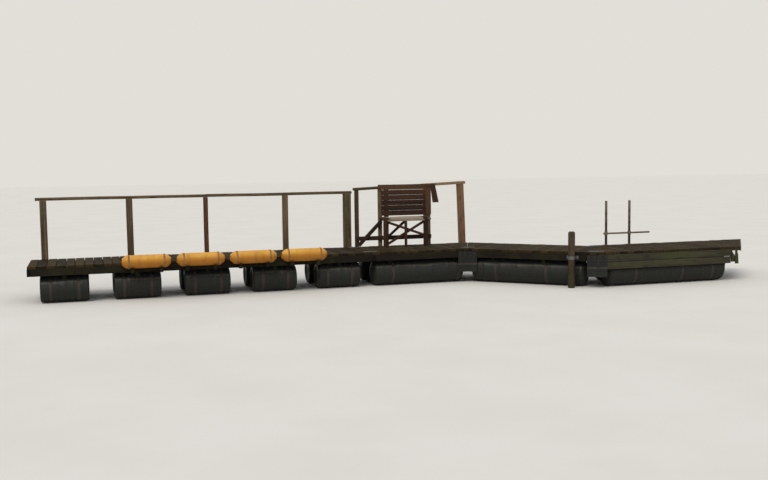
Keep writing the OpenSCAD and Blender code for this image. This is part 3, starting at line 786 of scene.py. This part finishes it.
def pontoon(section, side, word, grid):
    """A ribbed pipe with domed ends, clear of the section's slanted ends."""
    place, start, slope0, end, slope1 = SECTIONS[section]
    walls = (side * FLOAT_Y - FLOAT_R, side * FLOAT_Y + FLOAT_R)
    x0 = start + MARGIN + max(slope0 * y for y in walls)
    x1 = end - MARGIN + min(slope1 * y for y in walls)
    piece = Piece(f"{section}_{word}_float", place)
    rise = [radians(a) for a in range(0, 91, 9)]
    first = [(BODY_R * sin(a), x0 + DOME_H * (1 - cos(a))) for a in rise]
    last = [(r, x1 - (x - x0)) for r, x in reversed(first)]
    body = bump_points(x0 + WELD_IN, 0.003, 0.006, 4)
    for x in steps(grid, [i + 0.5 for i in range(-2, 13)]):
        if x0 + DOME_H + RIB_CLEAR < x < x1 - DOME_H - RIB_CLEAR:
            body += bump_points(x, FLOAT_R - BODY_R, RIB_FOOT)
    body += bump_points(x1 - WELD_IN, 0.003, 0.006, 4)
    piece.take(revolve(first + body + last, 64), at(0, side * FLOAT_Y, FLOAT_R), smooth=True)
    piece.finish(black_plastic, f"{section}_{word}_pontoon")


for side, word in SIDES:
    barrels(side, word)
for side, word in SIDES:
    for section, grid in (("landing", LANDING_GRID), ("middle", MIDDLE_GRID), ("outer", OUTER_GRID)):
        pontoon(section, side, word, grid)

YELLOW_R = 0.095
YELLOW_LEN = 0.68
YELLOW_X = [1.61 + i * 0.765 for i in range(4)]
YELLOW_Y = -HALF_W - YELLOW_R
YELLOW_Z = DECK_TOP + 0.02
YELLOW_NOSE_R = 0.052
YELLOW_TAPER = 0.08
BEARER_OFF = 0.2
BEARER_W = 0.05
BEARER_H = 0.06


def yellow_profile():
    """A tapered float with a rounded nose and a parting line."""
    half = YELLOW_LEN / 2
    nose = [(0, 0.006 - half), (0.03, 0.006 - half), (0.036, 0.001 - half), (0.044, -half)]
    for share in [i / 8 for i in range(9)]:
        radius = YELLOW_NOSE_R + (YELLOW_R - YELLOW_NOSE_R) * sin(pi / 2 * share)
        nose.append((radius, 0.008 - half + (YELLOW_TAPER - 0.008) * share))
    nose.append((YELLOW_R, YELLOW_TAPER - half + 0.01))
    ridge = [(YELLOW_R, -0.006), (YELLOW_R + 0.0015, -0.002), (YELLOW_R + 0.0015, 0.002), (YELLOW_R, 0.006)]
    return nose + ridge + [(r, -x) for r, x in reversed(nose)]


for index, x in enumerate(YELLOW_X):
    piece = Piece(f"yellow_buoy_{index + 1}")
    piece.take(revolve(yellow_profile(), 48), at(x, YELLOW_Y, YELLOW_Z), smooth=True)
    piece.finish(yellow_plastic, f"yellow_float_{index + 1}")

piece = Piece("yellow_buoy_bearers")
top_z = YELLOW_Z - YELLOW_R
for x in YELLOW_X:
    for middle_x in (x - BEARER_OFF, x + BEARER_OFF):
        low = (middle_x - BEARER_W / 2, YELLOW_Y - YELLOW_R, top_z - BEARER_H)
        high = (middle_x + BEARER_W / 2, -HALF_W, top_z)
        block(piece, low, high, "y", edge=0.004)
piece.finish(frame_wood, "yellow_float_bearers")


# Steel bands, link plates and the stake's collar
BAND_W = 0.04
BAND_T = 0.003
BAND_OFFSET = CHOCK_T / 2 + BAND_W / 2 + 0.002
BARREL_BANDS = (-0.19, 0.19)
EAR = (BAND_W, 0.004, 0.024)
EAR_TURN = radians(52)


def ring_shape(inner, outer, width, segments=56):
    """A flat ring about the X axis with its edges eased."""
    worn = min(0.0008, (outer - inner) / 3)
    half = width / 2
    profile = [
        (inner, -half), (outer - worn, -half), (outer, worn - half),
        (outer, half - worn), (outer - worn, half), (inner, half),
    ]
    return revolve(profile, segments, closed=True)


def band(piece, x, side):
    """A band round a float, drawn tight by a bolt through two ears on its outer side."""
    centre = at(x, side * FLOAT_Y, FLOAT_R)
    piece.take(ring_shape(BODY_R, BODY_R + BAND_T, BAND_W), centre)
    turned = centre @ spin(-side * EAR_TURN, "X")
    for gap, facing in ((-1, OUT_RIGHT), (1, OUT_LEFT)):
        small_block(piece, turned @ at(0, gap * 0.008, BODY_R + 0.014), EAR)
        head = [(0, 0), (0.0075, 0), (0.0075, 0.006), (0.006, 0.0075), (0, 0.0075)]
        piece.take(revolve(head, 6), turned @ at(0, gap * 0.01, BODY_R + 0.016) @ facing)


piece = Piece("float_bands")
for section, rows in CHOCK_X.items():
    piece.place = SECTIONS[section][0]
    shifts = BARREL_BANDS if section == "walkway" else (BAND_OFFSET,)
    for row, side in zip(rows, (-1, 1)):
        for x in row:
            for shift in shifts:
                band(piece, x + shift, side)
piece.finish(dark_steel, "float_straps")

STRAP_W = 0.025
STRAP_OFF = 0.245
TAIL_LEN = 0.07
piece = Piece("yellow_buoy_bands")
for x in YELLOW_X:
    for middle_x in (x - STRAP_OFF, x + STRAP_OFF):
        piece.take(ring_shape(YELLOW_R, YELLOW_R + BAND_T, STRAP_W, 48), at(middle_x, YELLOW_Y, YELLOW_Z))
        tail = at(middle_x, TAIL_LEN / 2 - HALF_W, DECK_TOP + BAND_T / 2)
        small_block(piece, tail, (STRAP_W, TAIL_LEN, BAND_T))
        for y in (0.022, 0.052):
            screw(piece, middle_x, y - HALF_W, DECK_TOP + BAND_T, size=0.006)
piece.finish(ochre_steel, "yellow_float_straps")

LINK = (0.22, 0.06, 0.006)
LINK_Y = 0.43
LINK_BOLTS = (-0.085, -0.045, 0.045, 0.085)
piece = Piece("joint_plates", LANDING)
for place, angle in ((LANDING, 0), (MIDDLE, TURN / 2), (OUTER, -TURN / 2)):
    piece.place = place
    turn = spin(angle, "Z")
    for y in (-LINK_Y, LINK_Y):
        small_block(piece, turn @ at(0, y, DECK_TOP + LINK[2] / 2), LINK, 0.0015)
        for x in LINK_BOLTS:
            hex_bolt(piece, *(turn @ Vector((x, y, DECK_TOP + LINK[2]))), UPRIGHT, 0.0085)
STAKE_R = 0.052
STAKE_X = MIDDLE_LEN - 0.154
STAKE_Y = -HALF_W - STAKE_R - 0.006
COLLAR = (0.18, 0.005, 0.05)
COLLAR_Z = FRAME_Z + 0.055
COLLAR_BOLT = 0.074
piece.place = MIDDLE
piece.take(ring_shape(STAKE_R, STAKE_R + COLLAR[1], COLLAR[2], 40), at(STAKE_X, STAKE_Y, COLLAR_Z) @ UPRIGHT)
small_block(piece, at(STAKE_X, -HALF_W - COLLAR[1] / 2, COLLAR_Z), COLLAR)
for x in (STAKE_X - COLLAR_BOLT, STAKE_X + COLLAR_BOLT):
    hex_bolt(piece, x, -HALF_W - COLLAR[1], COLLAR_Z, OUT_RIGHT, 0.008)
piece.finish(zinc, "section_links")


# Rail posts and rails
POST_FOOT_Z = FRAME_Z + 0.01
# Each post's place, side, tone and warmth
WALKWAY_POSTS = [
    (0.2, 0.095, 0.4, 0), (1.45, 0.095, 0.3, 0), (2.61, 0.067, 0.25, 0.7), (3.88, 0.085, 0.35, 0.1),
    (4.918, 0.115, 0.3, 0),
]
LANDING_POSTS = [
    (5.078, 0.062, 0.2, 0.1), (5.48, 0.06, 0.5, 0.1), (5.59, 0.068, 0.0, 0.3), (6.32, 0.1, 0.35, 0.1),
]
LAST_POST = (6.958, 0.1)
LEAN = radians(1.9)
RAIL_T = 0.045
RAIL_W = 0.095
RAIL_Y = HALF_W + 0.05
BUTT = 0.002
# The walkway's rail is level, the landing's rises
RAIL_X = (0.09, 4.99)
RAIL_TOP = DECK_TOP + 0.92
rail_x0, rail_x1 = 5.03, 7.008
rail_z0, rail_z1 = DECK_TOP + 0.97, DECK_TOP + 1.05
RAIL_SLOPE = (rail_z1 - rail_z0) / (rail_x1 - rail_x0)


def rail_z(x):
    return rail_z0 + RAIL_SLOPE * (x - rail_x0)


BOLT_R = 0.011
BOLT_RISE = BOLT_R * 0.45
bolts = Piece("post_bolts")


def post_bolts(x, side):
    """The low domed heads of two coach bolts through a post's foot."""
    dome = [(BOLT_R * cos(a), BOLT_RISE * sin(a)) for a in (0.0, 0.4, 0.8, 1.2)]
    head = [(0, -0.002), (BOLT_R, -0.002)] + dome + [(0, BOLT_RISE)]
    for z in (FRAME_Z + 0.035, FRAME_Z + 0.085):
        bolts.take(revolve(head, 16), at(x, HALF_W + side, z) @ OUT_LEFT, smooth=True)


def stand_posts(piece, posts, top, planes=()):
    """Square posts on the far side, each up to top(x) and cut by the planes."""
    for x, side, tone, warm in posts:
        low = (x - side / 2, HALF_W, POST_FOOT_Z)
        high = (x + side / 2, HALF_W + side, top(x))
        block(piece, low, high, "z", tone=tone, warm=warm, planes=planes, edge=0.006, bow=0.003)
        post_bolts(x, side)


piece = Piece("walkway_rail_posts")
stand_posts(piece, WALKWAY_POSTS, lambda x: RAIL_TOP - RAIL_T)
piece.finish(rail_wood, "walkway_posts")

piece = Piece("landing_rail_posts")
under_rail = [((rail_x0, 0, rail_z0 - RAIL_T), (-RAIL_SLOPE, 0, 1))]
stand_posts(piece, LANDING_POSTS, rail_z, under_rail)
x, side = LAST_POST
y = HALF_W + side / 2
start = (x + tan(LEAN) * (DECK_TOP - POST_FOOT_Z), y, POST_FOOT_Z)
end = (x - tan(LEAN) * (rail_z(x) - DECK_TOP), y, rail_z(x))
bar(piece, start, end, side, side, tone=0.6, warm=0.4, planes=under_rail, edge=0.006, bow=0.003)
post_bolts(x, side)
piece.finish(rail_wood, "landing_posts")
bolts.finish(zinc)

screws = Piece("rail_screws")
piece = Piece("walkway_top_rail")
joint_x = WALKWAY_POSTS[2][0]
for x0, x1, tone in ((RAIL_X[0], joint_x - BUTT, 0.25), (joint_x + BUTT, RAIL_X[1], 0.35)):
    low = (x0, RAIL_Y - RAIL_W / 2, RAIL_TOP - RAIL_T)
    high = (x1, RAIL_Y + RAIL_W / 2, RAIL_TOP)
    block(piece, low, high, tone=tone, edge=0.005, bow=0.004, step=0.25)
for x, *_ in WALKWAY_POSTS:
    for shift in (-0.02, 0.02):
        screw(screws, x + shift, RAIL_Y + shift / 2, RAIL_TOP, size=0.007)
piece.finish(rail_wood, "walkway_handrail")

piece = Piece("landing_top_rail")
joint_x = LANDING_POSTS[3][0]
for x0, x1, tone in ((rail_x0, joint_x - BUTT, 0.2), (joint_x + BUTT, rail_x1, 0.8)):
    start, end = [(x, RAIL_Y, rail_z(x) - RAIL_T / 2) for x in (x0, x1)]
    bar(piece, start, end, RAIL_T, RAIL_W, tone=tone, warm=0.15, edge=0.005, bow=0.002, step=0.25)
for x, *_ in LANDING_POSTS:
    screw(screws, x, RAIL_Y, rail_z(x), size=0.007)
piece.finish(rail_wood, "landing_handrail")
screws.finish(rusty)

INNER_T = 0.028
SLATS_X = (5.494, 6.37)
LOW_RAIL_X = 5.048
LOW_RAIL_Z = DECK_TOP + 0.096
LOW_RAIL_H = 0.07
piece = Piece("low_rail_board")
high = (SLATS_X[1], HALF_W, LOW_RAIL_Z + LOW_RAIL_H)
block(piece, (LOW_RAIL_X, HALF_W - INNER_T, LOW_RAIL_Z), high, tone=0.35, bow=0.003, step=0.25)
piece.finish(dark_wood, "lower_rail")

# Each brace's foot and head as (x, height over the deck), its width and its tone
BRACES = (((5.09, 0.024), (5.48, 0.415), 0.06, 0.3), ((5.55, 0.11), (5.915, 0.42), 0.04, 0.4))
piece = Piece("slanted_brace")
for foot, head, width, tone in BRACES:
    start, end = [(x, HALF_W - 1.5 * INNER_T, DECK_TOP + lift) for x, lift in (foot, head)]
    bar(piece, start, end, width, INNER_T, tone=tone)
piece.finish(dark_wood, "rail_brace")


# Bench
SLAT_T = 0.022
SLAT_H = 0.0838
SLAT_PITCH = 0.086
SLAT_COUNT = 5
SLATS_LOW = DECK_TOP + 0.54 - SLAT_H / 2
BATTEN_W = 0.098
TOP_BOARD_X = (5.44, 6.372)
TOP_BOARD_LOW = DECK_TOP + 0.93
TOP_BOARD_HIGH = TOP_BOARD_LOW + 0.085
WING_LOW = DECK_TOP + 0.7
WING_X = (6.405, 6.511, 6.443)
SEAT_D = 0.3
SEAT_H = 0.48
SEAT_T = 0.038
SEAT_X = (5.45, 6.21)
SEAT_END_W = 0.08
PLANK_GAP = 0.01
APRON_H = 0.025
LEG_W = 0.06

piece = Piece("bench_slats")
screws = Piece("bench_screws")
batten_x = SLATS_X[1] - BATTEN_W
slat_y = HALF_W - SLAT_T
for i in range(SLAT_COUNT):
    z = SLATS_LOW + i * SLAT_PITCH
    low = (SLATS_X[0] + piece.rng.uniform(0, 0.004), slat_y, z)
    high = (batten_x - piece.rng.uniform(0.001, 0.003), HALF_W, z + SLAT_H)
    block(piece, low, high, tone=piece.rng.uniform(0.1, 0.5), warm=0.2)
    for x in (LANDING_POSTS[2][0], batten_x + 0.03):
        for lift in (0.02, 0.06):
            screw(screws, x, slat_y, z + lift, OUT_RIGHT)
block(piece, (batten_x, slat_y, SLATS_LOW), (SLATS_X[1], HALF_W, TOP_BOARD_LOW - BUTT), "z", tone=1.4)
low = (TOP_BOARD_X[0], slat_y, TOP_BOARD_LOW)
block(piece, low, (TOP_BOARD_X[1], HALF_W, TOP_BOARD_HIGH), tone=1.4, bow=0.002)
wing_x = TOP_BOARD_X[1] + BUTT
wing = [(wing_x, TOP_BOARD_LOW), (WING_X[0], WING_LOW), (WING_X[1], WING_LOW)]
wing += [(WING_X[2], TOP_BOARD_HIGH), (wing_x, TOP_BOARD_HIGH)]
sawn_board(piece, wing, slat_y, HALF_W, 0.6, 0.25, radians(76))
piece.finish(dark_wood, "bench_back")

front = HALF_W - SEAT_D
seat_z = DECK_TOP + SEAT_H - SEAT_T
plank = (SEAT_D - PLANK_GAP) / 2
piece = Piece("bench_planks")
for i in range(2):
    y = front + i * (plank + PLANK_GAP)
    low = (SEAT_X[0] + SEAT_END_W + 0.001, y, seat_z)
    high = (SEAT_X[1] - SEAT_END_W - 0.001, y + plank, seat_z + SEAT_T)
    block(piece, low, high, tone=0.6, edge=0.006, bow=0.003)
apron_z = seat_z - APRON_H
low = (SEAT_X[0] + LEG_W, front, apron_z)
block(piece, low, (SEAT_X[1] - LEG_W, front + INNER_T, seat_z), tone=0.45)
block(piece, (SEAT_X[0], HALF_W - INNER_T, apron_z), (SLATS_X[1], HALF_W, seat_z), tone=0.2)
piece.finish(seat_wood, "bench_seat")

piece = Piece("bench_seat_ends")
for x in (SEAT_X[0], SEAT_X[1] - SEAT_END_W):
    high = (x + SEAT_END_W, HALF_W, seat_z + SEAT_T)
    block(piece, (x, front, seat_z), high, "y", tone=0.5, warm=0.1, edge=0.005)
    for y in (front + 0.04, HALF_W - 0.06):
        screw(screws, x + SEAT_END_W / 2, y, seat_z + SEAT_T)
piece.finish(dark_wood)
screws.finish(rusty)

# The crossed bars' feet over the deck and their places behind the seat's front
CROSS_W = 0.04
CROSS_T = 0.024
CROSS_HEAD = DECK_TOP + 0.418
CROSS_FEET = (0.022, 0.17)
CROSS_Y = (0.042, 0.0425)
STRUT_HALF = 0.022
STRUT_Y = (0.012, 0.036)
piece = Piece("bench_legs")
for x in (SEAT_X[0], SEAT_X[1] - LEG_W):
    high = (x + LEG_W, front + LEG_W, seat_z)
    block(piece, (x, front, DECK_TOP), high, "z", tone=0.4, warm=0.2, edge=0.004)
legs = [SEAT_X[0] + LEG_W / 2, SEAT_X[1] - LEG_W / 2]
for foot_x, head_x, foot_z, y in zip(legs, reversed(legs), CROSS_FEET, CROSS_Y):
    start = (foot_x, front + y, DECK_TOP + foot_z)
    bar(piece, start, (head_x, front + y, CROSS_HEAD), CROSS_W, CROSS_T, tone=0.45, warm=0.2)
middle_x = sum(legs) / 2
low = (middle_x - STRUT_HALF, front + STRUT_Y[0], DECK_TOP)
high = (middle_x + STRUT_HALF, front + STRUT_Y[1], apron_z)
block(piece, low, high, "z", tone=0.4, warm=0.2)
piece.finish(dark_wood, "bench_front_frame")


# Skirt and step of the outer section
SKIRT_H = 0.106
SKIRT_GAP = 0.006
SKIRT_END = OUTER_FRAME_LEN - HALF_GAP + SKIRT_T
piece = Piece("outer_side_boards", OUTER)
for row in range(2):
    z = DECK_Z - (row + 1) * SKIRT_H - row * SKIRT_GAP
    for y in (-OUTER_HALF_W, HALF_W):
        long_board(
            piece, HALF_GAP, MITRE, SKIRT_END, END_SLOPE, y, y + SKIRT_T, z, z + SKIRT_H,
            bow=0.002, step=0.25, tone=0.35 + 0.5 * row
        )
    cross_board(
        piece, SKIRT_END - SKIRT_T, SKIRT_END, END_SLOPE, 0.001 - HALF_W, HALF_W - 0.001,
        z, z + SKIRT_H, bow=0.002, tone=0.5 + 0.2 * row
    )
piece.finish(olive_wood, "outer_skirt")

FASCIA_H = 0.07
HANGER_W = 0.042
HANG_X = OUTER_LEN - 0.066
HANG_Z = DECK_Z - 0.2
TREAD_X = (HANG_X - 0.05, HANG_X + 0.02)
TREAD_T = 0.03
BEARER_Z = DECK_Z - 0.025
GUSSET_HALF = 0.01
FACE_X = OUTER_LEN - FASCIA_T
piece = Piece("end_step_timbers", OUTER)
across = (END_SLOPE, -OUTER_HALF_W, OUTER_HALF_W)
cross_board(piece, FACE_X, OUTER_LEN, *across, DECK_TOP - FASCIA_H, DECK_TOP - 0.001, tone=0.6, edge=0.004)
cross_board(piece, *TREAD_X, *across, HANG_Z - TREAD_T, HANG_Z, tone=0.5, edge=0.004)
for side in (-1, 1):
    y = side * (OUTER_HALF_W - 0.003 - HANGER_W / 2)
    y0, y1 = y - HANGER_W / 2, y + HANGER_W / 2
    long_board(piece, SKIRT_END, END_SLOPE, FACE_X, END_SLOPE, y0, y1, BEARER_Z, DECK_Z, tone=0.4)
    x0, x1 = HANG_X - 0.045, HANG_X
    low = (x0 + END_SLOPE * y0, y0 + 0.003, HANG_Z - 0.004)
    high = (x1 + END_SLOPE * y1, y1 - 0.003, BEARER_Z + 0.004)
    block(piece, low, high, "z", tone=0.4, planes=end_planes(x0, END_SLOPE, x1, END_SLOPE), edge=0.002)
y = 0.003 + HANGER_W / 2 - OUTER_HALF_W
edge_x = SKIRT_END + 0.002 + END_SLOPE * (y + GUSSET_HALF)
foot_x = HANG_X - 0.03 + END_SLOPE * y
outline = [(edge_x, HANG_Z), (foot_x, HANG_Z), (foot_x, DECK_Z - 0.147), (edge_x, DECK_Z - 0.014)]
sawn_board(piece, outline, y - GUSSET_HALF, y + GUSSET_HALF, 0.4, slant=radians(40))
piece.finish(olive_wood, "end_step")


# Grab rail
GRAB_R = 0.02
GRAB_X = (0.532, 0.96)
GRAB_Y = HALF_W - 0.06
GRAB_H = 0.72
ROUND_R = 0.012
GRAB_BAR = (0.483, 1.342)
BAR_Z = DECK_TOP + 0.19
FLANGE_T = 0.008
SCREW_RING = 0.034
piece = Piece("grab_rail_tubes", OUTER)
for x in GRAB_X:
    foot = at(x, GRAB_Y, DECK_TOP) @ UPRIGHT
    upright = [(0, 0), (GRAB_R, 0)] + arc(GRAB_R - ROUND_R, GRAB_H - ROUND_R, ROUND_R, 0, 90)
    piece.take(revolve(upright + [(0, GRAB_H)], 28), foot, smooth=True)
    flange = [(0, 0), (0.045, 0), (0.045, 0.006), (0.043, FLANGE_T)]
    flange += [(GRAB_R + 0.006, FLANGE_T), (GRAB_R + 0.001, 0.014), (0, 0.014)]
    piece.take(revolve(flange, 32), foot)
    for angle in [radians(45 + 90 * i) for i in range(4)]:
        screw(piece, x + SCREW_RING * cos(angle), GRAB_Y + SCREW_RING * sin(angle), DECK_TOP + FLANGE_T)
    clamp = [(0, -0.03), (0.025, -0.03), (0.027, -0.028), (0.027, 0.028), (0.025, 0.03), (0, 0.03)]
    piece.take(revolve(clamp, 24), at(x, GRAB_Y, BAR_Z) @ UPRIGHT)
length = GRAB_BAR[1] - GRAB_BAR[0]
low_bar = [(0, 0), (0.009, 0), (0.014, 0.005), (0.014, length - 0.005), (0.009, length), (0, length)]
piece.take(revolve(low_bar, 24), at(GRAB_BAR[0], GRAB_Y, BAR_Z), smooth=True)
piece.finish(worn_steel, "grab_rail")


# Mooring stake
STAKE_H = 0.85
piece = Piece("round_stake", MIDDLE)
profile = [(0, 0)] + [(STAKE_R, STAKE_H * i / 34) for i in range(34)]
profile += [(STAKE_R, STAKE_H - 0.016), (STAKE_R - 0.016, STAKE_H), (0, STAKE_H)]
bm = revolve(profile, 40)
for vert in bm.verts:
    ragged = noise.fractal(Vector((vert.co.x * 2.5, vert.co.y * 28, vert.co.z * 28)), 0.9, 2.0, 4)
    spread = 1 - 0.05 * abs(ragged)
    vert.co.y *= spread
    vert.co.z *= spread
piece.take(bm, at(STAKE_X, STAKE_Y, 0) @ UPRIGHT, smooth=True)
piece.finish(stake_wood, "mooring_stake")


# Floor, background, light and camera
def pale_floor():
    look = Look("pale_floor", None)
    place = look.geometry("Position")
    mottle = look.noise(place, 0.8, 3.0)
    colour = look.mix(look.fade(mottle, 0.3, 0.7), (222, 219, 212), (226, 223, 217))
    return look.finish(colour, 0.9, look.noise(place, 90.0, 2.0), 0.0004)


FLOOR_HALF = 90
mesh = bpy.data.meshes.new("studio_floor")
corners = [(x * FLOOR_HALF, y * FLOOR_HALF, 0) for x, y in ((-1, -1), (1, -1), (1, 1), (-1, 1))]
mesh.from_pydata(corners, [], [(0, 1, 2, 3)])
mesh.materials.append(pale_floor()[1])
floor = stand("studio_floor", mesh)

world = bpy.data.worlds.new("studio_world")
bpy.context.scene.world = world
world.use_nodes = True
nodes = world.node_tree.nodes
links = world.node_tree.links
soft = nodes["Background"]
soft.inputs["Color"].default_value = srgb(238, 241, 246)
soft.inputs["Strength"].default_value = 0.62
pale = nodes.new("ShaderNodeBackground")
pale.inputs["Color"].default_value = srgb(226, 223, 217)
path = nodes.new("ShaderNodeLightPath")
share = path.outputs["Is Camera Ray"]
for ray in ("Is Glossy Ray", "Is Transmission Ray"):
    either = nodes.new("ShaderNodeMath")
    either.operation = "MAXIMUM"
    links.new(share, either.inputs[0])
    links.new(path.outputs[ray], either.inputs[1])
    share = either.outputs[0]
both = nodes.new("ShaderNodeMixShader")
links.new(share, both.inputs[0])
links.new(soft.outputs[0], both.inputs[1])
links.new(pale.outputs[0], both.inputs[2])
links.new(both.outputs[0], nodes["World Output"].inputs["Surface"])


def sun(name, strength, spread, aim, colour):
    """A wide, soft sun that shines along aim."""
    data = bpy.data.lights.new(name, "SUN")
    data.energy = strength
    data.angle = radians(spread)
    data.color = colour[:3]
    stand(name, data).rotation_euler = Vector(aim).to_track_quat("-Z", "Y").to_euler()


sun("key_light", 1.5, 35, (0.45, 0.55, -0.85), srgb(255, 250, 240))
sun("fill_light", 0.35, 60, (-0.6, 0.5, -0.6), srgb(240, 246, 255))

# The eye stands where the photograph's did, turned so that the whole jetty fills the picture
EYE = Vector((-4.904, -13.658, 1.89))
HEADING = radians(17.5)
DOWN = radians(4.6)
ROLL = radians(-0.75)
data = bpy.data.cameras.new("camera")
data.lens = 44.0
data.sensor_width = 36.0
data.clip_end = 400
camera = stand("camera", data)
aim = Vector((sin(HEADING) * cos(DOWN), cos(HEADING) * cos(DOWN), -sin(DOWN)))
turn = aim.to_track_quat("-Z", "Y").to_matrix().to_4x4() @ spin(ROLL, "Z")
camera.matrix_world = Matrix.Translation(EYE) @ turn
bpy.context.scene.camera = camera
bpy.context.scene.view_settings.view_transform = "Standard"
